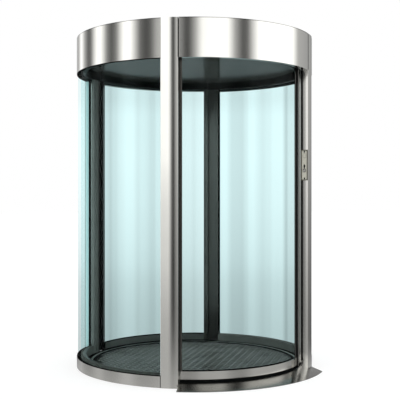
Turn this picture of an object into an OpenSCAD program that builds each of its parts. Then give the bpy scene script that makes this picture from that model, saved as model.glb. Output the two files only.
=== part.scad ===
// Cylindrical security portal: a round glass cabin with two curved sliding
// doors, one at the front (-Y) and one at the rear (+Y).
// Azimuths are measured about the vertical axis from the front (-Y),
// positive towards +X, which is the right-hand side of a person entering.

/* [Cabin] */
// Outer diameter over the canopy and the posts
portal_d = 1670; // [1500:10:2000]
// Overall height, floor to top of canopy
portal_h = 2300; // [2150:10:2700]
// Azimuth from the middle of a doorway to the near side of its posts, degrees
doorway_half = 37.5; // [32:0.5:42]
// General sheet thickness of the stainless cladding
sheet_t = 3; // [2:0.5:4]

/* [Floor] */
// Height of the raised floor above the ground
floor_h = 30; // [24:1:60]
// Thickness of the floor mat and of the ring round it
mat_t = 6; // [4:1:10]
// Width of the floor ring on which the doors seal
floor_ring_w = 43; // [34:1:70]
// Gap round the mat
mat_gap = 2; // [1:0.5:4]

/* [Thresholds] */
// How far a threshold ramp reaches beyond the outer diameter
ramp_reach = 90; // [60:5:140]
// Height of the ramp at its outer edge
ramp_lip = 3; // [2:0.5:5]
// Step from the cabin floor down to the top of the ramp
ramp_step = 5; // [2:1:8]

/* [Posts] */
// Width of a post face along its chord
post_w = 109; // [90:1:140]
// How far the wall side of a post face stands out beyond the outer diameter
post_proud = 3; // [1:0.5:5]
// Width of the flat part of a post face, from its wall side
post_flat_w = 42; // [34:1:60]
// Outward turn of the flat part from the chord, degrees
post_flat_turn = 2; // [0:0.5:4]
// Turn between the flat part and the start of the rolled part, degrees
post_crease = 1; // [0.5:0.5:6]
// Radius of the rolled part of a post face
post_roll_r = 240; // [200:5:400]
// Depth of the stainless reveal beside a doorway, from the outer diameter
reveal_depth = 50; // [44:1:70]
// Radius of the reveal's slight curve
reveal_curve_r = 320; // [200:10:600]
// Depth of the inner jamb behind the reveal
jamb_depth = 16; // [12:1:24]

/* [Fixed glass walls] */
// Thickness of the curved wall glass
wall_glass_t = 20; // [14:1:26]
// How far the glass stands back from the outer diameter
glass_setback = 9; // [8:1:14]
// Height of the stainless band at the foot of a wall
band_h = 72; // [60:1:110]
// Width of the stainless lip at the top of the band
band_lip = 5; // [4:0.5:6]
// How far the inner rail and the header stand back from the outer diameter
frame_setback = 41; // [36:1:48]
// Height of the inner rail's top above the ground
inner_rail_top = 86; // [80:1:120]
// Wall of the dark aluminium profiles
profile_t = 4; // [3:0.5:6]
// Height of the glazing gaskets
gasket_h = 5; // [4:1:8]
// Width of the upright gaskets inside the ends of the wall glass
gasket_w = 8; // [6:1:12]

/* [Canopy] */
// Height of the stainless fascia
fascia_h = 249; // [220:1:320]
// Height of the ceiling above the lower edge of the fascia
ceiling_rise = 56; // [40:1:70]
// Thickness of the glossy ceiling panel
ceiling_t = 6; // [4:1:10]
// Height of the header's underside above the lower edge of the fascia
header_rise = 9; // [6:1:14]
// How far the roof panel lies below the top edge of the fascia
roof_drop = 11; // [8:1:20]
// Joint between the fascia over a wall and a post
fascia_gap = 2; // [1:0.5:3]
// Joint between the fascia over a doorway and a post
doorway_joint = 5; // [3:0.5:8]

/* [Sliding doors] */
// Running gap between a door and the posts
door_gap = 9; // [6:1:12]
// Thickness of the door frame
door_t = 18; // [18:1:24]
// Thickness of the door glass
door_glass_t = 10; // [8:1:10]
// Azimuth by which the trailing edge of a door overlaps its post, degrees
trailing_overlap = 1.4; // [1:0.1:3]
// Width of the trailing stile
trailing_stile_w = 32; // [25:1:50]
// Azimuth between the closing stile and the post, degrees
closing_gap = 0.5; // [0.3:0.1:1]
// Width of the closing stile's outer flange
closing_stile_w = 50; // [42:1:70]
// Width of the closing stile where it is as thick as the door
closing_box_w = 4; // [2:1:12]
// Width of the taper between the two
closing_taper_w = 34; // [20:1:36]
// Width of the rubber safety edge
safety_edge_w = 34; // [20:1:40]
// Height of the underside of the bottom rail above the ground
rail_bottom = 42; // [40:1:70]
// Height of the bottom rail
rail_h = 51; // [40:1:90]
// Width of the safety edge's lip over the outside of the closing stile
safety_lip_w = 30; // [16:1:34]
// Gap below the brush seal
brush_gap = 5; // [5:1:8]
// How far the glass goes into a rail or a stile
glass_bite = 12; // [8:1:15]

/* [Running gear] */
// Diameter of a roller
roller_d = 36; // [28:1:44]
// Width of a roller
roller_w = 9; // [6:1:12]
// Width of the slot in the track
track_slot = 18; // [18:1:24]
// Sheet thickness of the track
track_t = 3; // [2:0.5:4]
// Thickness of a hanger blade
blade_t = 6; // [4:1:8]
// Height of the track's underside above the ceiling
track_rise = 43; // [36:1:60]
// Azimuth from the middle of a door to each carriage, degrees
carriage_azimuth = 26; // [18:1:32]

/* [Lock] */
// Height of the lock plate's middle above the ground
lock_z = 1405; // [900:5:1600]
// Length of the lock plate
lock_plate_h = 195; // [160:1:240]
// Width of the lock plate
lock_plate_w = 33; // [26:1:36]
// Distance from the plate's middle down to the key plug
plug_drop = 37; // [25:1:60]
// Diameter of the key plug
plug_d = 19; // [16:0.5:22]
// Height of the keyhole slot above the plug's middle
slot_rise = 41; // [30:1:50]
// Distance from the plate's middle up to the oval ring
ring_rise = 64; // [50:1:76]

/* [Hidden] */

$fn = 180;
small_fn = 40;
fit = 0.3;          // clearance between curved faces that seat on each other
big = 3 * portal_d; // larger than anything that is cut

portal_r = portal_d / 2;

// Posts
post_half = asin(post_w / 2 / portal_r);
post_mid = doorway_half + post_half;
wall_from = doorway_half + 2 * post_half;
wall_to = 180 - wall_from;
face_r = portal_r + post_proud;
reveal_r = portal_r - reveal_depth;
reveal_mid_r = portal_r - 0.58 * reveal_depth;
post_inner_r = reveal_r - jamb_depth;
joint = 1;          // hairline between the reveal and the jamb strip
core_gap = 0.3;     // from the core to the cladding

// Fixed walls, from the outside inwards
glass_out_r = portal_r - glass_setback;
glass_in_r = glass_out_r - wall_glass_t;
glass_end_gap = 3;
glass_margin = asin(glass_end_gap / glass_in_r);
frame_out_r = portal_r - frame_setback;
frame_gap = 2;      // from the header to the cladding
gasket_out_r = portal_r - 2;
band_top = band_h;

// Canopy
fascia_z = portal_h - fascia_h;
ceiling_z = fascia_z + ceiling_rise;
header_z = fascia_z + header_rise;
roof_z = portal_h - roof_drop - sheet_t;
header_web_t = 6;
header_shelf_t = 8;
header_shelf_w = 94;
glass_rise = 15;    // from the header's underside to the tops of the glass
glass_top_z = header_z + glass_rise;
fascia_flange_w = 20;

// Doors, from the posts inwards
door_out_r = post_inner_r - door_gap;
door_in_r = door_out_r - door_t;
door_mid_r = door_out_r - door_t / 2;
door_wall = (door_t - door_glass_t) / 2;
function door_angle(width) = 2 * asin(width / 2 / door_mid_r);
trailing_end = -doorway_half - trailing_overlap;
trailing_inner = trailing_end + door_angle(trailing_stile_w);
closing_end = doorway_half - closing_gap;
closing_inner = closing_end - door_angle(closing_stile_w);
closing_box = closing_end - door_angle(closing_box_w);
closing_taper = closing_end - door_angle(closing_box_w + closing_taper_w);
bite_angle = door_angle(glass_bite);
safety_lip_t = 3;
rail_top = rail_bottom + rail_h;
seal_lip = 5;       // how far the inner bead stands over the outer rail cover
rail_floor_t = 8;
top_rail_bite = 12;
door_glass_top = header_z + glass_rise;
top_rail_z = door_glass_top - top_rail_bite;
top_rail_top = ceiling_z + ceiling_t + 5;

// Floor
ring_out_r = post_inner_r - 1;
ring_in_r = ring_out_r - floor_ring_w;
base_top = floor_h - mat_t;
ceiling_r = door_in_r - 7;
nose_r = door_t / 2 - 2;            // safety edge
stop_r = door_mid_r + nose_r + 5.5; // closing strip on a post

// Running gear
track_z = ceiling_z + track_rise;
lip_t = 4;
lip_top = track_z + lip_t;
roller_seat = 0.3;
axle_z = lip_top + roller_seat + roller_d / 2;
roller_gap = 1;     // from a roller to the edge of the slot
roller_side = 5;    // from a roller to the side of the track
track_half = track_slot / 2 + roller_gap + roller_w + roller_side;
roller_head = 5.5;  // from a roller to the top of the track
track_top = axle_z + roller_d / 2 + roller_head + lip_t;
axle_r = 4;
blade_half_angle = 3;
axle_spread = 1.8;

// Lock
lock_r = portal_r - 26.5;
plate_back = sheet_t - 0.2;
plate_out = 1;

// A point at an azimuth and a radius, in plan
function at(azimuth, r) = [r * sin(azimuth), -r * cos(azimuth)];

// Revolves a section, drawn with radius along X and height along Y
module arc(from, to) {
    rotate_extrude(angle = to - from, start = from - 90) children();
}

// A rectangle in a section, from one radius and height to another
module band(r0, r1, z0, z1) {
    translate([r0, z0]) square([r1 - r0, z1 - z0]);
}

// A plan sector between two azimuths, with its sides moved inwards by inset
module sector(from, to, inset = 0) {
    middle = (from + to) / 2;
    half = (to - from) / 2;
    apex = at(middle, inset / sin(half));
    translate(apex) polygon([[0, 0], at(from, big), at(to, big)]);
}

// ---------------------------------------------------------------- floor

module floor_base() {
    color("dimgray") {
        cylinder(r = ring_out_r, h = base_top);
        for (side = [0, 180]) rotate(side)
            arc(wall_from + glass_margin, wall_to - glass_margin)
                band(ring_out_r - 1, portal_r - sheet_t - fit, 0, floor_h);
    }
}

module floor_mat() {
    color("darkslategray") translate([0, 0, base_top])
        cylinder(r = ring_in_r - mat_gap, h = mat_t);
}

module floor_ring() {
    color("silver") rotate_extrude() band(ring_in_r, ring_out_r - 1 - fit, base_top, floor_h);
}

// The ramp between the posts, and its tongue in front of the right-hand post
module threshold() {
    ramp_out_r = portal_r + ramp_reach;
    ramp_in_r = ring_out_r + 1;
    ramp_top = floor_h - ramp_step;
    tongue_r = face_r + 1;
    margin = 0.1;
    module section() polygon([
        [ramp_in_r, 0], [ramp_out_r, 0], [ramp_out_r, ramp_lip], [ramp_in_r, ramp_top]
    ]);
    color("silver") {
        arc(-doorway_half + margin, doorway_half - margin) section();
        intersection() {
            arc(doorway_half - 1, wall_from + 2) section();
            translate([0, -big, -1]) cube([portal_r * sin(wall_from), big, portal_h]);
            difference() {
                translate([0, 0, -1]) cylinder(r = big, h = portal_h);
                translate([0, 0, -2]) cylinder(r = tongue_r, h = portal_h + 2);
            }
        }
    }
}

// ---------------------------------------------------------------- posts

// Everything inside a post face, moved inwards by inset. Drawn with the face's
// wall side at [0, 0], X towards the doorway along the chord and Y outwards
module face_outline(inset) {
    turned = post_flat_turn - post_crease;
    crease = post_flat_w * [cos(post_flat_turn), sin(post_flat_turn)];
    intersection() {
        rotate(post_flat_turn) translate([-big, -big - inset]) square([2 * big, big]);
        union() {
            translate(crease) rotate(turned) translate([-big - 1, -big]) square([big, 2 * big]);
            translate(crease) rotate(turned) translate([0, -post_roll_r])
                circle(r = post_roll_r - inset);
        }
    }
}

// Plan outline of a post between its two sides, back to radius r0
module post_plan(r0, inset = 0, face_gap = 0) {
    difference() {
        intersection() {
            sector(doorway_half, wall_from, inset);
            translate(at(wall_from, face_r)) rotate(post_mid + 180)
                face_outline(inset + face_gap);
            translate(at(doorway_half, reveal_mid_r)) rotate(doorway_half)
                translate([reveal_curve_r, 0]) circle(r = reveal_curve_r - inset);
        }
        circle(r = r0);
    }
}

// Plan outline of the sheet on the doorway side of a post, behind the reveal
module jamb_plan(r1) {
    intersection() {
        difference() {
            sector(doorway_half, post_mid);
            sector(doorway_half, wall_from, sheet_t);
            circle(r = post_inner_r);
        }
        circle(r = r1);
    }
}

// Stainless cladding with its reveal, and the jamb strip behind the reveal
module right_post(lock = false) {
    color("silver") difference() {
        union() {
            difference() {
                union() {
                    linear_extrude(header_z) post_plan(reveal_r);
                    linear_extrude(portal_h) post_plan(frame_out_r + frame_gap);
                }
                translate([0, 0, -1]) linear_extrude(portal_h + 1 - sheet_t)
                    post_plan(reveal_r - 1, sheet_t);
            }
            linear_extrude(header_z) jamb_plan(reveal_r - joint);
        }
        if (lock) lock_seat(1.5);
    }
}

// Dark aluminium profile that carries the canopy and the cladding; on the
// closing side of a doorway it has a strip that covers the gap behind the door
module right_post_core(closing = false) {
    color([0.16, 0.17, 0.17]) {
        linear_extrude(header_z) {
            difference() {
                intersection() {
                    sector(doorway_half, wall_from);
                    circle(r = reveal_r);
                }
                circle(r = post_inner_r);
                jamb_plan(reveal_r + 1);
            }
            post_plan(reveal_r - 1, sheet_t + core_gap, 1);
        }
        translate([0, 0, header_z]) linear_extrude(roof_z - header_z)
            post_plan(frame_out_r + frame_gap + 1, sheet_t + core_gap, 1);
        if (closing) {
            arc(doorway_half, post_mid)
                band(stop_r, post_inner_r - fit, floor_h + 1, header_z - 1);
            arc(doorway_half + 1, post_mid)
                band(stop_r, post_inner_r + 1, floor_h + 1, header_z - 1);
        }
    }
}

// ---------------------------------------------------------------- walls

module right_wall_glass() {
    color([0.75, 0.93, 0.94, 0.4])
        arc(wall_from + glass_margin, wall_to - glass_margin)
            band(glass_in_r, glass_out_r, floor_h, glass_top_z);
}

module right_base_band() {
    color("silver") arc(wall_from + 0.05, wall_to - 0.05) {
        band(portal_r - sheet_t, portal_r, 0, band_top);
        band(portal_r - sheet_t - band_lip, portal_r, band_top - sheet_t, band_top);
    }
}

module right_inner_rail() {
    color([0.16, 0.17, 0.17]) arc(wall_from, wall_to) {
        band(ring_out_r, ring_out_r + profile_t, floor_h, inner_rail_top);
        band(ring_out_r, frame_out_r, inner_rail_top - profile_t, inner_rail_top);
        band(ring_out_r, frame_out_r - profile_t, floor_h, floor_h + profile_t);
    }
}

module right_wall_gaskets() {
    bottom = band_top;
    top = fascia_z - gasket_h;
    margin = glass_margin * 0.05;
    gasket_angle = asin(gasket_w / glass_in_r);
    // outer frame, clear of the glass by a hair
    arc(wall_from + margin, wall_to - margin) {
        band(glass_out_r + fit, gasket_out_r, bottom, bottom + gasket_h);
        band(glass_out_r + fit, gasket_out_r, top, top + gasket_h);
    }
    for (end = [wall_from + margin, wall_to - glass_margin + margin])
        arc(end, end + glass_margin - 2 * margin)
            band(glass_in_r, gasket_out_r, bottom, top + gasket_h);
    // inner frame
    arc(wall_from + margin, wall_to - margin) {
        band(frame_out_r + fit, glass_in_r - fit, inner_rail_top - gasket_h, inner_rail_top + 2);
        band(frame_out_r + fit, glass_in_r - fit, header_z, glass_top_z);
    }
    for (end = [wall_from + margin, wall_to - margin - gasket_angle])
        arc(end, end + gasket_angle)
            band(frame_out_r + fit, glass_in_r - fit, inner_rail_top - gasket_h, glass_top_z);
}

module wall_gaskets() {
    color([0.05, 0.05, 0.05]) for (side = [0, 180]) rotate(side) right_wall_gaskets();
}

// ---------------------------------------------------------------- canopy

module header_ring() {
    in_r = ring_out_r;
    out_r = frame_out_r;
    shelf_z = track_top;
    color([0.1, 0.1, 0.1]) rotate_extrude() {
        band(out_r - header_web_t, out_r, header_z, roof_z);
        band(in_r, out_r, header_z, header_z + header_web_t);
        band(in_r, in_r + profile_t, header_z, ceiling_z);
        band(out_r - header_shelf_w, out_r, shelf_z, shelf_z + header_shelf_t);
    }
}

module door_track() {
    r0 = door_mid_r - track_half;
    r1 = door_mid_r + track_half;
    slot = track_slot / 2;
    color("darkgray") rotate_extrude() {
        band(r0 - track_t, r0, track_z, track_top);
        band(r1, r1 + track_t, track_z, track_top);
        band(r0 - track_t, r1 + track_t, track_top - lip_t, track_top);
        band(r0 - track_t, door_mid_r - slot, track_z, lip_top);
        band(door_mid_r + slot, r1 + track_t, track_z, lip_top);
    }
}

module ceiling_panel() {
    upstand_r = frame_out_r - header_shelf_w + 12;
    color([0.2, 0.23, 0.22]) {
        translate([0, 0, ceiling_z]) cylinder(r = ceiling_r, h = ceiling_t);
        rotate_extrude() band(upstand_r - profile_t, upstand_r, ceiling_z + 1, track_top);
    }
}

module roof_panel() {
    color("gray") difference() {
        translate([0, 0, roof_z]) cylinder(r = portal_r - sheet_t - 4, h = sheet_t);
        for (turn = [0, 180], flip = [0, 1]) rotate(turn) mirror([flip, 0, 0])
            translate([0, 0, roof_z - 1]) linear_extrude(sheet_t + 2) difference() {
                sector(doorway_half, wall_from, -1);
                circle(r = frame_out_r + frame_gap - 1);
            }
    }
}

// A fascia segment, short of the posts by gap; under_r is how far its lower
// edge turns inwards
module fascia(from, to, gap, under_r) {
    margin = asin(gap / portal_r);
    color("silver") arc(from + margin, to - margin) {
        band(portal_r - sheet_t, portal_r, fascia_z, portal_h);
        band(portal_r - sheet_t - fascia_flange_w, portal_r, roof_z + sheet_t, roof_z + 2 * sheet_t);
        band(under_r, portal_r, fascia_z, fascia_z + sheet_t);
    }
}

// ---------------------------------------------------------------- lock

// Moves children to the reveal of the front right post: X outwards along the
// radius from the axis, Y up, Z out of the reveal into the doorway
module on_reveal() {
    rotate(doorway_half - 90) rotate([90, 0, 0]) children();
}

module lock_seat(margin) {
    on_reveal() translate([lock_r, lock_z, 0]) translate([
        -lock_plate_w / 2 - margin, -lock_plate_h / 2 - margin, -sheet_t - 1.5
    ]) cube([lock_plate_w + 2 * margin, lock_plate_h + 2 * margin, sheet_t + 3]);
}

module oval(w, h) {
    for (end = [-1, 1]) translate([0, end * (h - w) / 2]) circle(d = w, $fn = small_fn);
    translate([-w / 2, (w - h) / 2]) square([w, h - w]);
}

// Plate with a round hole for the plug, a slot above it, a notch for a screw
// at each end and a raised oval ring
module lock_plate() {
    half_h = lock_plate_h / 2;
    ring_w = 20;
    ring_h = 28;
    color([0.75, 0.75, 0.68]) on_reveal() translate([lock_r, lock_z, 0]) {
        difference() {
            translate([-lock_plate_w / 2, -half_h, -plate_back])
                cube([lock_plate_w, lock_plate_h, plate_back + plate_out]);
            translate([0, 0, -sheet_t - 1]) linear_extrude(sheet_t + 4) {
                translate([0, -plug_drop]) circle(d = plug_d + 2, $fn = small_fn);
                translate([-plug_d / 5, -plug_drop]) square([plug_d * 0.4, slot_rise]);
                for (end = [-1, 1]) translate([0, end * half_h]) circle(r = 4, $fn = small_fn);
            }
        }
        translate([0, ring_rise, 0]) linear_extrude(plate_out + 1) difference() {
            oval(ring_w, ring_h);
            oval(ring_w - 5, ring_h - 5);
        }
    }
}

module lock_cylinder() {
    color("silver") on_reveal() translate([lock_r, lock_z - plug_drop, -plate_back]) difference() {
        cylinder(d = plug_d, h = plate_back + 3, $fn = small_fn);
        translate([-1.2, -plug_d * 0.34, 1]) cube([2.4, plug_d * 0.68, plate_back + 3]);
    }
}

// ---------------------------------------------------------------- doors

module door_glass() {
    color([0.75, 0.93, 0.94, 0.4])
        arc(trailing_inner - bite_angle, closing_taper - 0.05)
            band(door_in_r + door_wall, door_out_r - door_wall,
                 rail_bottom + rail_floor_t, door_glass_top);
}

module door_bottom_rail() {
    color([0.16, 0.17, 0.17]) arc(trailing_inner, closing_taper - 0.02) {
        band(door_in_r, door_in_r + door_wall - fit, rail_bottom, rail_top - 3);
        band(door_in_r, door_out_r - door_wall, rail_bottom, rail_bottom + rail_floor_t);
    }
}

module door_rail_cover() {
    color("silver") arc(trailing_end, closing_end)
        band(door_out_r - door_wall + fit, door_out_r, rail_bottom, rail_top);
}

module door_top_rail() {
    color([0.16, 0.17, 0.17]) arc(trailing_end, closing_end) {
        band(door_in_r, door_in_r + door_wall - fit, top_rail_z, top_rail_top);
        band(door_out_r - door_wall + fit, door_out_r, top_rail_z, top_rail_top);
        band(door_in_r, door_out_r, door_glass_top + fit, top_rail_top);
    }
}

// Box profile, grooved for the glass, with room for the bottom rail's cover
module trailing_stile() {
    color([0.16, 0.17, 0.17]) difference() {
        arc(trailing_end, trailing_inner) band(door_in_r, door_out_r, rail_bottom, top_rail_z);
        arc(trailing_inner - bite_angle - 0.1, trailing_inner + 1)
            band(door_in_r + door_wall - fit, door_out_r - door_wall + fit,
                 rail_bottom + rail_floor_t - fit, portal_h);
        arc(trailing_end - 1, trailing_inner + 1)
            band(door_out_r - door_wall, door_out_r + 5, rail_bottom - 1, rail_top + fit);
    }
}

// Plan outline of the closing stile out to radius r1: a flange over the
// outside of the glass, and a taper from it up to the full thickness
module closing_plan(r1) {
    flange_r = door_out_r - door_wall;
    thick = at(closing_box, door_in_r);
    thin = at(closing_taper, flange_r - 2);
    difference() {
        intersection() {
            circle(r = r1);
            union() {
                difference() {
                    sector(closing_inner, closing_end);
                    circle(r = flange_r + fit);
                }
                difference() {
                    sector(closing_taper, closing_end);
                    circle(r = door_in_r);
                    polygon([thick, thin + (thin - thick) / 9,
                             at(closing_taper - 1, door_in_r - 20),
                             at(closing_box, door_in_r - 20)]);
                }
            }
        }
        // room for the safety edge's lip
        difference() {
            sector(closing_end - door_angle(safety_lip_w), closing_end + 1);
            circle(r = door_out_r - safety_lip_t);
        }
    }
}

module closing_stile() {
    foot = rail_top + fit;
    color([0.16, 0.17, 0.17]) {
        translate([0, 0, rail_bottom]) linear_extrude(foot + 1 - rail_bottom)
            closing_plan(door_out_r - door_wall);
        translate([0, 0, foot]) linear_extrude(top_rail_z - foot) closing_plan(door_out_r);
    }
}

module door_seals() {
    color([0.05, 0.05, 0.05]) {
        // brush under the bottom rail
        arc(trailing_end, closing_end)
            band(door_mid_r - 3, door_mid_r + 3, floor_h + brush_gap, rail_bottom);
        // bead along the inside of the glass
        arc(trailing_inner + 0.02, closing_taper - 0.02)
            band(door_in_r, door_in_r + door_wall - fit, rail_top - 3, rail_top + seal_lip);
        // safety edge with a round nose, and its lip over the closing stile
        nose_at = closing_end + door_angle(safety_edge_w - nose_r);
        arc(closing_end, nose_at)
            band(door_mid_r - nose_r, door_mid_r + nose_r, rail_bottom, top_rail_z);
        arc(closing_end - door_angle(safety_lip_w - 0.5), closing_end + 0.1)
            band(door_out_r - safety_lip_t + fit, door_out_r, rail_top + fit, top_rail_z);
        translate([at(nose_at, door_mid_r)[0], at(nose_at, door_mid_r)[1], rail_bottom])
            cylinder(r = nose_r - fit, h = top_rail_z - rail_bottom, $fn = small_fn);
    }
}

module carriage() {
    module roller(r0) rotate([90, 0, 0]) translate([0, 0, r0])
        cylinder(d = roller_d, h = roller_w, $fn = small_fn);
    inner = door_mid_r - track_slot / 2 - roller_gap - roller_w;
    outer = door_mid_r + track_slot / 2 + roller_gap;
    arc(-blade_half_angle, blade_half_angle)
        band(door_mid_r - blade_t / 2, door_mid_r + blade_t / 2, top_rail_top, axle_z + 10);
    for (spread = [-axle_spread, axle_spread]) rotate(spread) translate([0, 0, axle_z]) {
        roller(inner);
        roller(outer);
        rotate([90, 0, 0]) translate([0, 0, inner])
            cylinder(r = axle_r, h = outer + roller_w - inner, $fn = small_fn);
    }
}

module door_carriages() {
    middle = (trailing_end + closing_end) / 2;
    color("gray") for (side = [-1, 1]) rotate(middle + side * carriage_azimuth) carriage();
}

// ---------------------------------------------------------------- nodes

floor_base();
floor_mat();
floor_ring();
threshold();  // front_threshold
rotate(180) threshold();  // rear_threshold
right_wall_glass();
rotate(180) right_wall_glass();  // left_wall_glass
right_base_band();
rotate(180) right_base_band();  // left_base_band
right_inner_rail();
rotate(180) right_inner_rail();  // left_inner_rail
wall_gaskets();
right_post(lock = true);  // front_right_post
mirror([1, 0, 0]) right_post();  // front_left_post
rotate(180) right_post();  // rear_left_post
rotate(180) mirror([1, 0, 0]) right_post();  // rear_right_post
right_post_core(closing = true);  // front_right_post_core
mirror([1, 0, 0]) right_post_core();  // front_left_post_core
rotate(180) right_post_core(closing = true);  // rear_left_post_core
rotate(180) mirror([1, 0, 0]) right_post_core();  // rear_right_post_core
header_ring();
door_track();
ceiling_panel();
roof_panel();
fascia(-doorway_half, doorway_half, doorway_joint, frame_out_r + frame_gap);  // front_fascia
rotate(180) fascia(-doorway_half, doorway_half, doorway_joint, frame_out_r + frame_gap);  // rear_fascia
fascia(wall_from, wall_to, fascia_gap, glass_out_r + 1.5);  // right_fascia
rotate(180) fascia(wall_from, wall_to, fascia_gap, glass_out_r + 1.5);  // left_fascia
lock_plate();
lock_cylinder();
door_glass();  // front_door_glass
door_bottom_rail();  // front_door_bottom_rail
door_rail_cover();  // front_door_rail_cover
door_top_rail();  // front_door_top_rail
closing_stile();  // front_door_closing_stile
trailing_stile();  // front_door_trailing_stile
door_seals();  // front_door_seals
door_carriages();  // front_door_carriages
rotate(180) door_glass();  // rear_door_glass
rotate(180) door_bottom_rail();  // rear_door_bottom_rail
rotate(180) door_rail_cover();  // rear_door_rail_cover
rotate(180) door_top_rail();  // rear_door_top_rail
rotate(180) closing_stile();  // rear_door_closing_stile
rotate(180) trailing_stile();  // rear_door_trailing_stile
rotate(180) door_seals();  // rear_door_seals
rotate(180) door_carriages();  // rear_door_carriages
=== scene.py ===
import math

import bpy
import numpy as np
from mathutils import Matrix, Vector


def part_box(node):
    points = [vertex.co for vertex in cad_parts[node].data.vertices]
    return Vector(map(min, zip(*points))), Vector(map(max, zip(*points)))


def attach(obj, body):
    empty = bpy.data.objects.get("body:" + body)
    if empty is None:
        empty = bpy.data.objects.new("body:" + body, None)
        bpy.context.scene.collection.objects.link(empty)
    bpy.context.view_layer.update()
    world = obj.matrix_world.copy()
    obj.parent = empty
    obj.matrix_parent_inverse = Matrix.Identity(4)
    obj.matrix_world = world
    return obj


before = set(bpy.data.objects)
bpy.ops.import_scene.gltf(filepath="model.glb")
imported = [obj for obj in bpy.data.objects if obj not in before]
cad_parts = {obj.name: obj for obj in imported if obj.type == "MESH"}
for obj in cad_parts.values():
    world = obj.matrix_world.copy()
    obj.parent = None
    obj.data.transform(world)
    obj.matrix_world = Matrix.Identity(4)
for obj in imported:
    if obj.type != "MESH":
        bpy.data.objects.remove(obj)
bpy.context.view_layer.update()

# ------------------------------------------------------------ camera
# A level view from the front left, above the middle, with a long lens so that
# the canopy and the floor show as flat ellipses. The focal length and the place
# of the cabin's axis across the frame are in the frame's own 400 units.
outer_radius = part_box("right_base_band")[1][0]
view_azimuth = math.radians(-30.56)
eye_distance, eye_height = 7.15 * outer_radius, 1.398 * outer_radius
frame_width, focal_length, axis_across = 400, 831.9, 194.33
sensor_width = 36.0
eye = bpy.data.objects.new("eye", bpy.data.cameras.new("eye"))
eye.data.sensor_width = sensor_width
eye.data.lens = focal_length / frame_width * sensor_width
eye.data.shift_x = (frame_width / 2 - axis_across) / frame_width
eye.location = (eye_distance * math.sin(view_azimuth), -eye_distance * math.cos(view_azimuth),
                eye_height)
eye.rotation_euler = (math.pi / 2, 0, view_azimuth)
bpy.context.scene.collection.objects.link(eye)
bpy.context.scene.camera = eye


# ------------------------------------------------------------ stainless cladding
# Posts, canopy fascia, base bands and door rail covers are satin stainless
# sheet, bent to shape and bonded to the frame behind. The grain runs round the
# cabin on the bent sheets and upright on the posts.
class Wire:
    """A value on its way through a tree's nodes. Arithmetic on it adds Math nodes."""

    def __init__(self, tree, socket=None):
        self.tree, self.socket = tree, socket

    def node(self, kind, settings, sockets, out=0):
        """Adds a node of this kind, sets it, feeds its sockets, and gives one of its outputs."""
        made = self.tree.nodes.new("ShaderNode" + kind)
        for name, value in settings.items():
            if name == "stops":
                stops = made.color_ramp.elements
                while len(stops) < len(value):
                    stops.new(1.0)
                for stop, (place, colour) in zip(stops, value):
                    stop.position, stop.color = place, (*colour, 1.0)
            else:
                setattr(made, name, value)
        for name, value in sockets.items():
            if isinstance(value, Wire):
                self.tree.links.new(value.socket, made.inputs[name])
            else:
                made.inputs[name].default_value = value
        return Wire(self.tree, made.outputs[out])

    def maths(self, operation, a, b):
        """One Math node on two values."""
        return self.node("Math", {"operation": operation}, {0: a, 1: b})

    def __add__(self, other): return self.maths("ADD", self, other)
    def __radd__(self, other): return self.maths("ADD", other, self)
    def __sub__(self, other): return self.maths("SUBTRACT", self, other)
    def __rsub__(self, other): return self.maths("SUBTRACT", other, self)
    def __mul__(self, other): return self.maths("MULTIPLY", self, other)
    def __rmul__(self, other): return self.maths("MULTIPLY", other, self)
    def __truediv__(self, other): return self.maths("DIVIDE", self, other)
    def __rtruediv__(self, other): return self.maths("DIVIDE", other, self)

    def above(self, level):
        """1 where this value is over the level, 0 elsewhere."""
        return self.maths("GREATER_THAN", self, level)

    def axis(self, letter):
        """One of these coordinates: X, Y or Z."""
        return self.node("SeparateXYZ", {}, {0: self}, letter)

    def stretched(self, x, y, z):
        """These coordinates, each axis multiplied by its own number."""
        return self.node("VectorMath", {"operation": "MULTIPLY"}, {0: self, 1: (x, y, z)})

    def noise(self, scale, detail, roughness):
        """Cloudy noise at these coordinates, most of it between 0.3 and 0.7."""
        return self.node("TexNoise", {}, {"Vector": self, "Scale": scale, "Detail": detail,
                                          "Roughness": roughness})

    def spread(self, low, high, to_low=0.0, to_high=1.0):
        """This value moved from one range to another, and kept inside the second."""
        return self.node("MapRange", {"clamp": True},
                         {"Value": self, "From Min": low, "From Max": high,
                          "To Min": to_low, "To Max": to_high})

    def patches(self):
        """Noise widened to the whole range from 0 to 1."""
        return self.spread(0.3, 0.7)

    def blend(self, a, b):
        """Colour a where this value is 0, and b where it is 1."""
        a = a if isinstance(a, Wire) else (*a, 1.0)
        b = b if isinstance(b, Wire) else (*b, 1.0)
        return self.node("Mix", {"data_type": "RGBA"}, {0: self, 6: a, 7: b}, 2)

    def bump(self, strength, distance):
        """A normal that takes this value as height."""
        return self.node("Bump", {}, {"Height": self, "Strength": strength, "Distance": distance})


def start_finish(name):
    """A new material, the object's coordinates in it, and its main shader."""
    material = bpy.data.materials.new(name)
    material.use_nodes = True
    tree = material.node_tree
    return material, Wire(tree).node("TexCoord", {}, {}, "Object"), tree.nodes["Principled BSDF"]


def feed(shader, **sockets):
    """Sets or links the shader's sockets; Base_Color stands for Base Color."""
    for name, value in sockets.items():
        socket = shader.inputs[name.replace("_", " ")]
        if isinstance(value, Wire):
            value.tree.links.new(value.socket, socket)
        else:
            socket.default_value = value


def dress(material, *nodes):
    """Gives the frame's own nodes this material and no other."""
    for node in nodes:
        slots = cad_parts[node].data.materials
        slots.clear()
        slots.append(material)


def shade(colour, amount):
    """This colour with each part multiplied by the amount."""
    return tuple(part * amount for part in colour)


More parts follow.
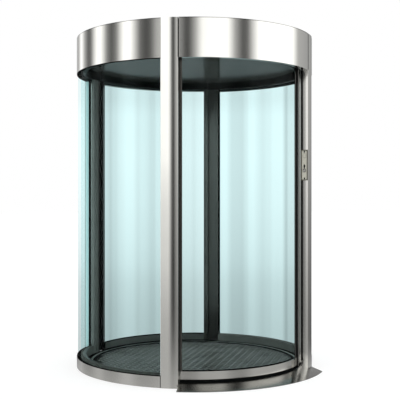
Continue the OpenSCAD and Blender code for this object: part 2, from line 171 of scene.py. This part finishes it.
def stainless(name, grain, base=(0.625, 0.62, 0.588), dull=0.13, shaded_top=None):
    """Satin stainless; grain is the stretch of the scratches along X, Y and Z. Above the given
    top height the sheet is folded over, and there its colour is darkened: painted shade along
    the top edge."""
    material, place, shader = start_finish(name)
    scratches = place.stretched(*grain).noise(1.0, 3.0, 0.6)
    handling = place.noise(3.1, 3.0, 0.55)
    colour = handling.patches().blend(base, shade(base, 0.95))
    # Painted shade: the colour of the folded top edge is darkened.
    if shaded_top:
        colour = place.axis("Z").above(shaded_top).blend(colour, shade(base, 0.45))
    feed(shader, Metallic=1.0, Anisotropic=0.3, Anisotropic_Rotation=0.25, Base_Color=colour,
         Roughness=scratches * 0.05 + handling * 0.05 + (dull - 0.05),
         Normal=scratches.bump(0.05, 0.0004))
    return material


fascia_low, fascia_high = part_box("front_fascia")
# The top strip of the fascias is painted darker, as painted shade.
shaded_top_depth = 0.005
round_grain, upright_grain = (3.0, 3.0, 1400.0), (1400.0, 1400.0, 3.0)
dress(stainless("stainless_round", round_grain, shaded_top=fascia_high[2] - shaded_top_depth),
      "front_fascia", "rear_fascia", "left_fascia", "right_fascia",
      "left_base_band", "right_base_band")
dress(stainless("stainless_upright", upright_grain),
      "front_left_post", "front_right_post", "rear_left_post", "rear_right_post")
# The door rail covers are the same stainless painted darker: a shaded copy, painted shade.
dress(stainless("stainless_rail_cover", round_grain, base=(0.52, 0.515, 0.485)),
      "front_door_rail_cover", "rear_door_rail_cover")


# ------------------------------------------------------------ dark profiles
# The cores of the posts, the door stiles and the rails round the glass are
# extruded aluminium, anodised a dark anthracite and screwed together. Fine die
# lines run along each profile.
# Painted light: a paler grey painted on the inner rails' top faces and the gaskets' inner foot.
painted_pale_grey = (0.11, 0.101, 0.09)
pale_top_skin = 0.0006


def anthracite(name, grain, base=0.07, metal=1.0, dull=0.16, sheen=0.5, pale_top=None):
    """Anodised aluminium; grain is the stretch of the die lines along X, Y and Z, and base is
    how pale it is. A top face at the given top height is painted a paler grey: painted light."""
    material, place, shader = start_finish(name)
    lines = place.stretched(*grain).noise(1.0, 2.0, 0.5)
    cloud = place.noise(5.0, 3.0, 0.5)
    pale = (base, base * 0.97, base * 0.90)
    deep = (base * 0.84, base * 0.82, base * 0.76)
    colour = cloud.patches().blend(pale, deep)
    if pale_top:
        # Painted light on the top face.
        colour = place.axis("Z").above(pale_top - pale_top_skin).blend(colour, painted_pale_grey)
    feed(shader, Metallic=metal, IOR=1.5, Specular_IOR_Level=sheen, Base_Color=colour,
         Roughness=lines * 0.08 + dull, Normal=lines.bump(0.03, 0.0003))
    return material


round_lines, upright_lines = (1.0, 1.0, 260.0), (260.0, 260.0, 1.0)
rail_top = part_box("left_inner_rail")[1][2]
# One anodised finish, painted paler part by part: the jamb cores, trailing stiles, bottom rails
# and inner rails are lighter copies, painted light for the light each part gets.
dress(anthracite("anthracite_upright", upright_lines),
      "front_left_post_core", "rear_right_post_core",
      "front_door_closing_stile", "rear_door_closing_stile")
dress(anthracite("anthracite_jamb", upright_lines, base=0.24, metal=0.3, dull=0.36),
      "front_right_post_core", "rear_left_post_core")
dress(anthracite("anthracite_trailing", upright_lines, base=0.17),
      "front_door_trailing_stile", "rear_door_trailing_stile")
dress(anthracite("anthracite_round", round_lines, base=0.14, metal=0.5, dull=0.3),
      "front_door_bottom_rail", "rear_door_bottom_rail")
dress(anthracite("anthracite_rail", round_lines, base=0.23, metal=0.5, dull=0.3, sheen=0.1,
                 pale_top=rail_top), "left_inner_rail", "right_inner_rail")


# ------------------------------------------------------------ black painted steel
# The header ring, the doors' top rails and the ring in the floor on which the
# doors close are folded and welded steel with black powder paint, duller on
# the floor.
def black_paint(name, sheen, dull):
    """Black powder paint with a fine orange peel."""
    material, place, shader = start_finish(name)
    peel = place.noise(300.0, 2.0, 0.5)
    cloud = place.noise(6.0, 3.0, 0.5)
    feed(shader, IOR=1.4, Specular_IOR_Level=sheen,
         Base_Color=cloud.patches().blend((0.004, 0.005, 0.005), (0.007, 0.008, 0.008)),
         Roughness=cloud * 0.12 + dull, Normal=peel.bump(0.08, 0.0003))
    return material


dress(black_paint("black_paint", 0.06, 0.34),
      "header_ring", "front_door_top_rail", "rear_door_top_rail")
dress(black_paint("black_floor_paint", 0.0, 0.8), "floor_ring")


# ------------------------------------------------------------ glass
# Curved laminated security glass, thick in the fixed walls and thinner in the
# doors, clear with the blue-green cast of its many layers. It stands on rubber
# in the rails and profiles.
def security_glass(name, tint):
    """Clear glass; slow upright bands make its tint drift a little."""
    material, place, shader = start_finish(name)
    drift = place.stretched(1.0, 1.0, 0.12).noise(2.3, 1.0, 0.5).spread(0.35, 0.65)
    feed(shader, Transmission_Weight=1.0, IOR=1.0, Roughness=0.0, Coat_Weight=0.05, Coat_IOR=1.5,
         Coat_Roughness=0.0, Base_Color=drift.blend(tint, shade(tint, 0.985)))
    return material


dress(security_glass("wall_glass_clear", (0.82, 0.955, 0.96)),
      "left_wall_glass", "right_wall_glass")
dress(security_glass("door_glass_clear", (0.85, 0.965, 0.97)),
      "front_door_glass", "rear_door_glass")


# ------------------------------------------------------------ gaskets and safety edges
# Glass beads and the doors' safety edges are matt black rubber, pressed into
# grooves of the profiles. The glazing gaskets are the same, but the upright
# joints outside them, at the ends of the wall glass, are clear silicone.
clear_silicone = (0.92, 0.98, 0.97)


def black_rubber(name, joint_radius=None):
    """Matt black rubber with a pale bloom. On the gaskets everything upright outside the joint's
    radius is silicone, and the foot inside it is painted a paler grey: painted light."""
    material, place, shader = start_finish(name)
    bloom = place.noise(24.0, 3.0, 0.6)
    colour = bloom.spread(0.35, 0.75).blend((0.002, 0.002, 0.002), (0.005, 0.006, 0.006))
    if joint_radius:
        bead, foot = 0.006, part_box("wall_gaskets")[0][2]
        x, y, z = place.axis("X"), place.axis("Y"), place.axis("Z")
        outside = (x * x + y * y).above(joint_radius ** 2)
        upright = outside * z.above(foot + bead) * (1 - z.above(fascia_low[2] - bead))
        colour = upright.blend(colour, clear_silicone)
        inner_foot = (1 - outside) * (1 - z.above(foot + 3 * bead))
        # Painted light on the inner foot.
        colour = inner_foot.blend(colour, painted_pale_grey)
    feed(shader, IOR=1.45, Specular_IOR_Level=0.04, Base_Color=colour,
         Roughness=bloom * 0.2 + 0.65,
         Normal=place.noise(900.0, 2.0, 0.5).bump(0.1, 0.0004))
    return material


rubber = black_rubber("black_rubber")
dress(rubber, "front_door_seals", "rear_door_seals")
dress(black_rubber("gasket_rubber", joint_radius=0.806), "wall_gaskets")


# ------------------------------------------------------------ door brushes
# Under each door a black nylon brush closes the gap over the floor ring: a row
# of tufts clamped in a strip in the bottom rail, their tips just above the ring.
def piece(name, points, faces, material, body, slot, smooth=False):
    """A new piece of these points and faces, riding on a body."""
    mesh = bpy.data.meshes.new(name)
    mesh.from_pydata(points, [], faces)
    mesh.update()
    if smooth:
        mesh.shade_smooth()
    mesh.materials.append(material)
    made = bpy.data.objects.new(name, mesh)
    bpy.context.scene.collection.objects.link(made)
    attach(made, body)
    return made


def lifted(flat, height):
    """Points of X and Y, with this height as their Z."""
    return np.concatenate([flat, np.full((*flat.shape[:-1], 1), height)], -1)


def rings_joined(rings):
    """Closed bodies from rings of points, an array of bodies by rings by points by X, Y and Z.
    Walls join each ring to the next, and the first and last rings are shut. The points go
    round counter-clockwise, seen from the last ring's side."""
    bodies, levels, sides = rings.shape[:3]
    first = np.arange(bodies)[:, None] * levels * sides
    i, k = np.meshgrid(np.arange(levels - 1), np.arange(sides), indexing="ij")
    here, beside = i * sides + k, i * sides + (k + 1) % sides
    walls = np.stack([here, beside, beside + sides, here + sides], 2).reshape(-1, 4)
    walls = (first[:, :, None] + walls).reshape(-1, 4)
    around = np.arange(sides)
    bottoms, tops = first + around[::-1], first + (levels - 1) * sides + around
    return rings.reshape(-1, 3), walls.tolist() + bottoms.tolist() + tops.tolist()


def extruded(outlines, low, high):
    """Upright bars from closed outlines, an array of bars by points by X and Y: each outline at
    the low and at the high level, walls between, both ends shut."""
    return rings_joined(np.stack([lifted(outlines, low), lifted(outlines, high)], 1))


def bead_outlines(azimuths, radius, half_depth, half_width, sides=14):
    """Flat oval outlines, one at each azimuth in degrees on a circle round the cabin: the
    half depth times the cosine along the radius, and the half width times the sine across."""
    a = np.radians(np.asarray(azimuths, float))[:, None]
    t = np.arange(sides) * math.tau / sides
    along, across = radius + half_depth * np.cos(t), half_width * np.sin(t)
    return np.stack([along * np.sin(a) + across * np.cos(a),
                     across * np.sin(a) - along * np.cos(a)], 2)


def brush_hair():
    """Black nylon bristle: fine upright hairs, some of them paler."""
    material, place, shader = start_finish("brush_hair")
    hairs = place.stretched(2200.0, 2200.0, 12.0).noise(1.0, 2.0, 0.6)
    feed(shader, IOR=1.45, Specular_IOR_Level=0.1, Roughness=hairs * 0.3 + 0.55,
         Base_Color=hairs.patches().blend((0.004, 0.004, 0.004), (0.018, 0.018, 0.017)),
         Normal=hairs.bump(0.3, 0.0005))
    return material


floor_ring_top, brush_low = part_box("floor_ring")[1][2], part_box("front_door_seals")[0][2]
tip_gap, tuft_overlap = 0.0012, 0.0005
brush_radius, tuft_half_depth, tuft_half_width, tuft_sides = 0.751, 0.0026, 0.0025, 10
brush_start, brush_stop, tuft_pitch = -38.6, 36.9, 0.4
tuft_azimuths = np.arange(brush_start, brush_stop, tuft_pitch)
bristle = brush_hair()
for door, half_turn in (("front_door", 0.0), ("rear_door", 180.0)):
    tufts = bead_outlines(tuft_azimuths + half_turn, brush_radius, tuft_half_depth,
                          tuft_half_width, tuft_sides)
    piece(door + "_brush_tufts",
          *extruded(tufts, floor_ring_top + tip_gap, brush_low + tuft_overlap),
          bristle, door, "seal_rubber", smooth=True)


# ------------------------------------------------------------ shadow gaps
# Black rubber strips, put in as painted shade where the gaps between parts lie in
# shadow: beside the fascia's ends, at the ends of the base bands, and in the
# posts' reveals where the jamb strip starts. In the lock's reveal the strip
# stops above and below the plate.
def shadow_gap_strips(name, azimuths, bead, low, high):
    """One black strip at each azimuth, standing for a shadow gap: an oval bar from the low level
    to the high one. The bead gives the radius of its middle, half its depth and half its width."""
    outlines = bead_outlines(azimuths, *bead)
    piece(name, *extruded(outlines, low, high), rubber, "frame", "black_profile", smooth=True)


plain_edges, lock_edge = [-142.5, -37.5, 142.5], [37.5]
band_ends = [-134.85, -45.15, 45.15, 134.85]
band_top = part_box("left_base_band")[1][2]
plate_low, plate_high = (corner[2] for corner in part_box("lock_plate"))
fascia_gap_strip = outer_radius - 0.001, 0.003, 0.0028
band_gap_strip = outer_radius + 0.0008, 0.0024, 0.0026
reveal_gap_strip = 0.7915, 0.0065, 0.0018
short_of_end, plate_gap = 0.001, 0.006
# Painted shade: black strips in the gaps beside the fascias, bands and reveals.
shadow_gap_strips("fascia_shadow_gaps", plain_edges + lock_edge, fascia_gap_strip,
        fascia_low[2] + 2 * short_of_end, fascia_high[2] - short_of_end)
shadow_gap_strips("band_shadow_gaps", band_ends, band_gap_strip, short_of_end, band_top - short_of_end)
shadow_gap_strips("reveal_shadow_gaps", plain_edges, reveal_gap_strip, band_top, fascia_low[2])
shadow_gap_strips("lock_reveal_shadow_gap_low", lock_edge, reveal_gap_strip, band_top, plate_low - plate_gap)
shadow_gap_strips("lock_reveal_shadow_gap_high", lock_edge, reveal_gap_strip, plate_high + plate_gap, fascia_low[2])


# ------------------------------------------------------------ glass bedding
# Each wall glass is bedded in its rail on a grey foam tape, which shows as a
# thin line along the foot of the glass.
def swept(profile, start, stop, steps):
    """A closed profile of radius and height, counter-clockwise, carried round the cabin from
    one azimuth to the other in degrees; ends shut unless it goes all the way round."""
    whole = abs(stop - start - 360) < 1e-6
    azimuths = np.radians(np.linspace(start, stop, steps + 1)[:steps if whole else None])[:, None]
    radius, height = np.asarray(profile, float).T
    n, rings = len(radius), len(azimuths)
    points = np.stack([radius * np.sin(azimuths), -radius * np.cos(azimuths),
                       np.broadcast_to(height, (rings, n))], 2).reshape(-1, 3)
    i, k = np.meshgrid(np.arange(rings if whole else rings - 1), np.arange(n), indexing="ij")
    j, beside = (i + 1) % rings, (k + 1) % n
    corners = [i * n + k, j * n + k, j * n + beside, i * n + beside]
    faces = np.stack(corners, 2).reshape(-1, 4).tolist()
    if not whole:
        faces += [list(range(n)), list(range(rings * n - 1, (rings - 1) * n - 1, -1))]
    return points, faces


def bedding_tape():
    """Grey foam, a little mottled."""
    material, place, shader = start_finish("bedding_tape")
    cloud = place.noise(30.0, 3.0, 0.6)
    feed(shader, IOR=1.45, Specular_IOR_Level=0.2, Roughness=cloud * 0.2 + 0.5,
         Base_Color=cloud.blend((0.13, 0.12, 0.107), (0.16, 0.148, 0.133)),
         Normal=cloud.bump(0.1, 0.0005))
    return material


tape = bedding_tape()
tape_in, tape_out = 0.8036, 0.8054
tape_low, tape_high = rail_top - 0.028, rail_top - 0.0005
tape_profile = [(tape_in, tape_low), (tape_out, tape_low), (tape_out, tape_high),
                (tape_in, tape_high)]
wall_angle = 88
for side, start in (("left", -134.0), ("right", 46.0)):
    piece(side + "_glass_bedding", *swept(tape_profile, start, start + wall_angle, wall_angle),
          tape, "frame", "seal_rubber")


# ------------------------------------------------------------ floor mat
# A round rubber mat, moulded with short crossed ribs, is glued down in the
# floor. A black rubber rim closes its edge inside a flat aluminium ring.
def mat_rubber(name, base, sheen):
    """Black rubber, worn in patches and gritty close up."""
    material, place, shader = start_finish(name)
    wear = place.noise(3.5, 4.0, 0.6)
    grit = place.noise(260.0, 2.0, 0.6)
    feed(shader, IOR=1.7, Specular_IOR_Level=sheen,
         Base_Color=wear.patches().blend(base, shade(base, 1.12)),
         Roughness=wear * 0.06 + grit * 0.1 + 0.2, Normal=grit.bump(0.2, 0.0004))
    return material


def mat_ribs(radius, level, pitch=0.034, length=0.036, width=0.0098, height=0.0038, sunk=0.0006):
    """Short ribs on a square grid, alternately along one diagonal and along the other. Each is
    a long hexagon with sloping sides and a smaller hexagon on top: a point is its rib's middle,
    plus a share of the length along the rib, plus a share of the width across it."""
    count = int(radius / pitch) + 1
    i, j = np.meshgrid(np.arange(-count, count + 1), np.arange(-count, count + 1), indexing="ij")
    middle = np.stack([i.ravel() * pitch, j.ravel() * pitch], 1)
    clear_of_rim = length * 0.6
    inside = np.hypot(middle[:, 0], middle[:, 1]) < radius - clear_of_rim
    middle, odd = middle[inside], ((i + j).ravel() % 2 == 1)[inside]
    turn = np.where(odd, math.pi / 4, -math.pi / 4)
    along = np.stack([np.cos(turn), np.sin(turn)], 1)
    across = np.stack([-along[:, 1], along[:, 0]], 1)
    hexagon = np.array([[-0.5, 0], [-0.3, -0.5], [0.3, -0.5], [0.5, 0], [0.3, 0.5], [-0.3, 0.5]])
    top_share = 0.62
    rings = []
    for share, z in ((1.0, -sunk), (top_share, height)):
        flat = (middle[:, None] + along[:, None] * (hexagon[:, :1] * length * (share + 1) / 2)
                + across[:, None] * (hexagon[:, 1:] * width * share))
        rings.append(lifted(flat, level + z))
    return rings_joined(np.stack(rings, 1))


mat_radius, _, mat_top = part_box("floor_mat")[1]
rim_width, sink, chamfer = 0.026, 0.0005, 0.0012
full_circle = 0.0, 360.0, 180
# The ribs are the same rubber painted much paler than the near-black mat between them: painted
# light on the ribs.
dress(mat_rubber("mat_rubber", (0.008, 0.008, 0.007), 0.1), "floor_mat")
piece("floor_mat_ribs", *mat_ribs(mat_radius - rim_width, mat_top),
      mat_rubber("mat_rib_rubber", (0.15, 0.136, 0.118), 1.0), "frame", "mat")

frame_in, frame_top = mat_radius + 0.0004, mat_top + 0.0022
frame_out = frame_in + 0.015
frame_profile = [(frame_in, mat_top - sink), (frame_out, mat_top - sink),
                 (frame_out, frame_top - chamfer), (frame_out - chamfer, frame_top),
                 (frame_in + chamfer, frame_top), (frame_in, frame_top - chamfer)]
frame_metal = stainless("mat_frame_aluminium", round_grain, base=(0.70, 0.70, 0.66), dull=0.36)
piece("floor_mat_frame", *swept(frame_profile, *full_circle), frame_metal, "frame", "mat")

rim_in, rim_out, rim_slope = mat_radius - rim_width, mat_radius - sink, 0.003
rim_shoulder, rim_top = mat_top + 0.0006, mat_top + 0.0016
rim_profile = [(rim_in, mat_top - sink), (rim_out, mat_top - sink), (rim_out, rim_shoulder),
               (mat_radius - rim_slope, rim_top), (rim_in + rim_slope, rim_top)]
piece("floor_mat_rim", *swept(rim_profile, *full_circle), rubber, "frame", "mat")


# ------------------------------------------------------------ floor base and ramps
# The raised floor base is welded steel sheet in black primer and stands flat on
# the ground. In each doorway a low aluminium ramp, scuffed by feet, is screwed
# to it.
def ramp_aluminium():
    """Aluminium with a fine even grain, darker where it is scuffed."""
    material, place, shader = start_finish("floor_aluminium")
    grain = place.noise(420.0, 2.0, 0.6)
    scuff = place.noise(7.0, 4.0, 0.65)
    feed(shader, Metallic=1.0, Anisotropic=0.4,
         Base_Color=scuff.patches().blend((0.37, 0.365, 0.345), (0.32, 0.315, 0.295)),
         Roughness=scuff * 0.1 + grain * 0.05 + 0.12, Normal=grain.bump(0.06, 0.0003))
    return material


def black_primer():
    """Dull black primer, a little mottled."""
    material, place, shader = start_finish("black_primer")
    cloud = place.noise(14.0, 3.0, 0.6)
    feed(shader, Base_Color=cloud.blend((0.014, 0.014, 0.014), (0.03, 0.03, 0.03)),
         Roughness=cloud * 0.2 + 0.5, Normal=cloud.bump(0.1, 0.0005))
    return material


dress(ramp_aluminium(), "front_threshold", "rear_threshold")
dress(black_primer(), "floor_base")


# ------------------------------------------------------------ ceiling, track and roof
# A glossy dark ceiling panel hides the curved track on which the doors hang,
# and a zinc coated panel closes the roof. All are screwed to the canopy.
def glossy_ceiling():
    """Glossy dark plastic laminate with a slight wave."""
    material, place, shader = start_finish("glossy_ceiling")
    wave = place.noise(1.7, 1.0, 0.4)
    feed(shader, IOR=1.45, Base_Color=wave.blend((0.040, 0.039, 0.035), (0.047, 0.046, 0.042)),
         Roughness=wave * 0.03 + 0.1, Normal=wave.bump(0.03, 0.01))
    return material


def zinc_sheet(name, base, dull):
    """Zinc coated steel: a faint mosaic of spangles, dull and slightly blue."""
    material, place, shader = start_finish(name)
    spangle = place.node("TexVoronoi", {"feature": "F1"}, {"Vector": place, "Scale": 90.0},
                         "Color")
    tone = spangle.node("SeparateColor", {}, {"Color": spangle})
    feed(shader, Metallic=0.9, Base_Color=tone.blend(base, shade(base, 0.8)),
         Roughness=tone * 0.12 + dull, Normal=place.noise(60.0, 2.0, 0.5).bump(0.05, 0.001))
    return material


dress(glossy_ceiling(), "ceiling_panel")
dress(zinc_sheet("zinc_sheet", (0.55, 0.57, 0.58), 0.34), "roof_panel")
dress(zinc_sheet("track_zinc", (0.46, 0.47, 0.47), 0.42), "door_track")


# ------------------------------------------------------------ roller carriages
# Each door hangs from two carriages of plated steel, whose blades come down
# through the track's slot and are bolted to the door's top rail.
def satin_plate(name, base, dull):
    """Plated or anodised metal with a fine upright grain; dull is its least roughness."""
    material, place, shader = start_finish(name)
    grain = place.stretched(900.0, 900.0, 20.0).noise(1.0, 2.0, 0.6)
    feed(shader, Metallic=0.9, Base_Color=grain.blend(base, shade(base, 0.9)),
         Roughness=grain * 0.1 + dull, Normal=grain.bump(0.05, 0.0002))
    return material


dress(satin_plate("carriage_steel", (0.42, 0.41, 0.39), 0.28),
      "front_door_carriages", "rear_door_carriages")


# ------------------------------------------------------------ lock
# A narrow anodised plate in the reveal of the front right post, screwed on
# inside a bronze frame. It carries a nickel plated key cylinder with a dark
# rosette, a black piece in the key slot above it as painted shade of the open
# slot, and a raised oval ring edged in bronze.
def on_lock_plate(height, proud):
    """A point on the plate's middle line: its height above the ground, and how far it stands
    out of the reveal, each along its own direction."""
    return np.array([[0, 0, height]]) + radial * lock_radius + out_of_reveal * proud


def turned(profile, centres, across, up, out, sides=16):
    """Turned heads, one at each centre. A point of the profile is a radius and a height: it
    gives a circle of that radius in the plane of across and up, moved that height along out."""
    t = np.arange(sides)[:, None] * math.tau / sides
    circle = np.cos(t) * across + np.sin(t) * up
    radius, height = np.asarray(profile, float).T[:, :, None, None]
    return rings_joined(centres[:, None, None] + circle * radius + out * height)


def screw_head(radius, height):
    """A low raised countersunk head: rim, rounded top, and a small dip as its socket."""
    return [(radius, -0.0006), (radius, height * 0.35), (radius * 0.8, height * 0.8),
            (radius * 0.5, height), (radius * 0.36, height), (radius * 0.32, height * 0.25),
            (radius * 0.02, height * 0.2)]


def lock_frame(half_width=0.0166, gap=0.0002, width=0.0064, sunk=0.0012, proud=0.003):
    """A flat rectangular frame: four corners outside and four on the plate's edge, first sunk
    in the reveal and again proud of it, joined by walls outside and inside. A corner is the
    plate's middle, plus or minus half the width along the radius and half the height up."""
    half = np.array([half_width, (plate_high - plate_low) / 2 + gap])
    corner = np.array([[-1, -1], [1, -1], [1, 1], [-1, 1]])
    flat = np.concatenate([corner * (half + width), corner * half])
    rows = [on_lock_plate(plate_middle, out) + flat[:, :1] * radial + flat[:, 1:] * up_reveal
            for out in (-sunk, proud)]
    k = np.arange(4)
    n = (k + 1) % 4
    front, back = (k + 8, n + 8, n + 12, k + 12), (k, k + 4, n + 4, n)
    outside, inside = (k, n, n + 8, k + 8), (k + 4, k + 12, n + 12, n + 4)
    faces = [np.stack(corners, 1) for corners in (front, back, outside, inside)]
    return np.concatenate(rows), np.concatenate(faces).tolist()


lock_azimuth, lock_radius = math.radians(lock_edge[0]), outer_radius - 0.0265
radial = np.array([math.sin(lock_azimuth), -math.cos(lock_azimuth), 0.0])
out_of_reveal = np.array([-math.cos(lock_azimuth), -math.sin(lock_azimuth), 0.0])
up_reveal = np.cross(out_of_reveal, radial)
lock_axes = radial, up_reveal, out_of_reveal
plate_middle = (plate_low + plate_high) / 2
plug_middle = plate_middle - 0.037
slot_middle, cap_middle = plug_middle + 0.029, plate_middle + 0.064
screw_inset, screw_proud = 0.0075, 0.0008

dress(satin_plate("lock_plate_anodised", (0.79, 0.765, 0.66), 0.30), "lock_plate")
nickel = satin_plate("lock_nickel", (0.66, 0.64, 0.60), 0.16)
dress(nickel, "lock_cylinder")
dark_steel = satin_plate("lock_dark_steel", (0.022, 0.021, 0.017), 0.4)
frame_bronze = satin_plate("lock_frame_bronze", (0.16, 0.155, 0.12), 0.38)

screw_places = np.concatenate([on_lock_plate(plate_low + screw_inset, screw_proud),
                               on_lock_plate(plate_high - screw_inset, screw_proud)])
piece("lock_screws", *turned(screw_head(0.0052, 0.0022), screw_places, *lock_axes),
      dark_steel, "frame", "lock_plate", smooth=True)

# Painted shade: a black piece fills the key slot, where the open slot falls dark.
slot_shadow_profile = [(1.0, -0.0004), (1.0, 0.0004), (0.86, 0.0007)]
slot_shadow_half_width, slot_shadow_half_height = 0.0056, 0.0125
piece("key_slot_shadow",
      *turned(slot_shadow_profile, on_lock_plate(slot_middle, 0.0011), radial * slot_shadow_half_width,
              up_reveal * slot_shadow_half_height, out_of_reveal, 28),
      rubber, "frame", "lock_cylinder")

rosette = [(0.0125, 0.0), (0.0125, 0.0012), (0.0094, 0.0014), (0.0094, -0.0015)]
piece("plug_rosette", *turned(rosette, on_lock_plate(plug_middle, 0.001), *lock_axes, 32),
      dark_steel, "frame", "lock_cylinder")

cap_ring = [(0.0118, 0.0), (0.0118, 0.0006), (0.0096, 0.0006), (0.0096, -0.0012)]
cap_stretch = 1.35
piece("lock_cap_ring",
      *turned(cap_ring, on_lock_plate(cap_middle, 0.0006), radial, up_reveal * cap_stretch,
              out_of_reveal, 32),
      frame_bronze, "frame", "lock_plate")

piece("lock_frame", *lock_frame(), frame_bronze, "frame", "lock_plate")


# ------------------------------------------------------------ roof screws
# Twelve plated pan-head screws in a ring hold the roof panel down on the
# canopy's angle.
roof_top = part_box("roof_panel")[1][2]
screw_circle = 0.80
around_roof = np.radians(np.arange(15.0, 375.0, 30.0))
roof_places = lifted(np.stack([screw_circle * np.sin(around_roof),
                               -screw_circle * np.cos(around_roof)], 1), roof_top)
piece("roof_screws", *turned(screw_head(0.0065, 0.0035), roof_places, *np.eye(3)),
      nickel, "frame", "galvanised", smooth=True)


# ------------------------------------------------------------ studio
# A pale floor that fades into a white room, lit from all round by a soft room
# with tall light panels and dark gaps between them, as steel needs to show.
def read_off(value, stops, start, span, top):
    """A curve read off at this value: stops are pairs of a place, counted from the start over
    the span, and a height of at most the top."""
    places = [((place - start) / span, (height / top,) * 3) for place, height in stops]
    ramp = value.node("ValToRGB", {"stops": places}, {"Fac": value})
    return ramp.node("RGBToBW", {}, {"Color": ramp}) * top


def studio_room():
    """The light from each direction. What a ray finds depends on its kind: panels for metal,
    faint streaks for a ray straight through glass, a plain sky for a diffuse one, and white
    for the camera. Here z is the sine of the height above the horizon."""
    world = bpy.data.worlds.new("studio")
    bpy.context.scene.world = world
    world.use_nodes = True
    tree = world.node_tree
    away = Wire(tree).node("TexCoord", {}, {}, "Generated")
    x, y, z = away.axis("X"), away.axis("Y"), away.axis("Z")
    c, s = math.cos(view_azimuth), math.sin(view_azimuth)
    turn = x.maths("ARCTAN2", x * c + y * s, x * s - y * c) / math.tau + 0.5

    # The panels: degrees round from the camera's line, and brightness.
    panels = [(-150, .46), (-140, 1.45), (-131, .52), (-122, .12), (-116, .2), (-106, 1.5),
              (-101, 1.7), (-91, .3), (-84.5, .1), (-78, .28), (-70, 1.48), (-63.5, 1.7),
              (-57, .75), (-52, .18), (-45.5, .08), (-41, .14), (-32, .72), (-28, 1.6),
              (-20, 1.65), (-13.5, .4), (-9, .09), (-5, .06), (1.5, .55), (7, 1.4), (30, 1.7),
              (38, .5), (45.5, .1), (51, .15), (64, 1.7), (105.5, 1.7), (117, .53), (148, .34)]
    shine = read_off(turn, panels, -180, 360, 1.7)
    near_horizon, higher = z.spread(-0.17, 0.06, 0.35, 1.0), z.spread(0.0, 0.14, 1.03, 1.22)
    overhead = z.spread(0.34, 0.56, 1.0, 0.38)
    shine = shine * near_horizon * higher * overhead

    # Below the horizon a pale ground, in which the panels show faintly.
    ground = z.spread(-0.34, -0.2, 0.92, 0.58)
    ground = ground * (1 + (shine - 0.6) * z.spread(-0.34, -0.2, 0.35, 0.1))
    below = z.spread(-0.172, -0.2)
    shine = shine * (1 - below) + below * ground

    # The streaks: degrees from the camera's line, and brightness. The strip is
    # repeated to and fro all round the room, fourteen times in a half turn.
    streaks = [(-6, .86), (-5.75, .76), (-5.57, .87), (-5.34, .9), (-5.2, .98), (-4.65, 1.11),
               (-4.2, 1.1), (-3.87, .95), (-3.68, 1), (-3.45, 1), (-3.2, .95), (-3, .88),
               (-2.75, .88), (-2.6, .98), (-.3, 1.01), (-.03, .94), (.15, 1), (.5, 1.05),
               (2.2, 1.1), (2.58, .89), (3.32, .87), (3.5, .96), (3.65, 1), (3.75, 1.09),
               (4.05, 1.12), (4.68, .97), (5, 1.03), (5.2, 1.04), (5.37, 1.11), (6.03, 1.11),
               (6.3, .73), (6.46, .95)]
    first, strip = -6.2, 90 / 7
    angle = -first - turn * 360
    swing = angle.maths("PINGPONG", angle, strip) / strip
    streak = read_off(swing, streaks, first, strip, 1.12)
    heights = [(-.4, .9), (-.26, .8), (-.18, .6), (-.16, .61), (-.13, .655), (-.1, .72),
               (-.075, .82), (-.05, .88), (-.005, .95), (.05, 1), (.1, 1), (.12, .91)]
    through = streak * read_off(z.spread(-0.4, 0.12), heights, -.4, .52, 1.0)

    sky = z.spread(-0.6, 0.6, 0.75, 1.05)
    depth, straight, diffuse, seen = (
        Wire(tree).node("LightPath", {}, {}, output) for output in
        ("Glossy Depth", "Is Transmission Ray", "Is Diffuse Ray", "Is Camera Ray"))
    clear = straight * (1 - depth.spread(0.0, 1.0))
    light = shine * (1 - diffuse) + sky * diffuse
    light = light * (1 - clear) + through * clear
    light = light * (1 - seen) + seen
    feed(tree.nodes["Background"], Color=(1, 1, 1, 1), Strength=light)


def studio_floor():
    """A flat square under the object; the camera sees it as white, less the object's soft
    shadow."""
    half, level = 60.0, -0.001
    mesh = bpy.data.meshes.new("studio_floor")
    mesh.from_pydata([(-half, -half, level), (half, -half, level), (half, half, level),
                      (-half, half, level)], [], [(0, 1, 2, 3)])
    floor = bpy.data.objects.new("studio_floor", mesh)
    bpy.context.scene.collection.objects.link(floor)
    material, _, shader = start_finish("studio_floor")
    feed(shader, Base_Color=(0.45, 0.45, 0.45, 1.0), Roughness=1.0, Specular_IOR_Level=0.0,
         Emission_Color=(1, 1, 1, 1), Emission_Strength=0.62)
    mesh.materials.append(material)
    floor.visible_glossy = False
    floor.visible_transmission = False


studio_room()
studio_floor()

bpy.context.scene.view_settings.view_transform = "Standard"
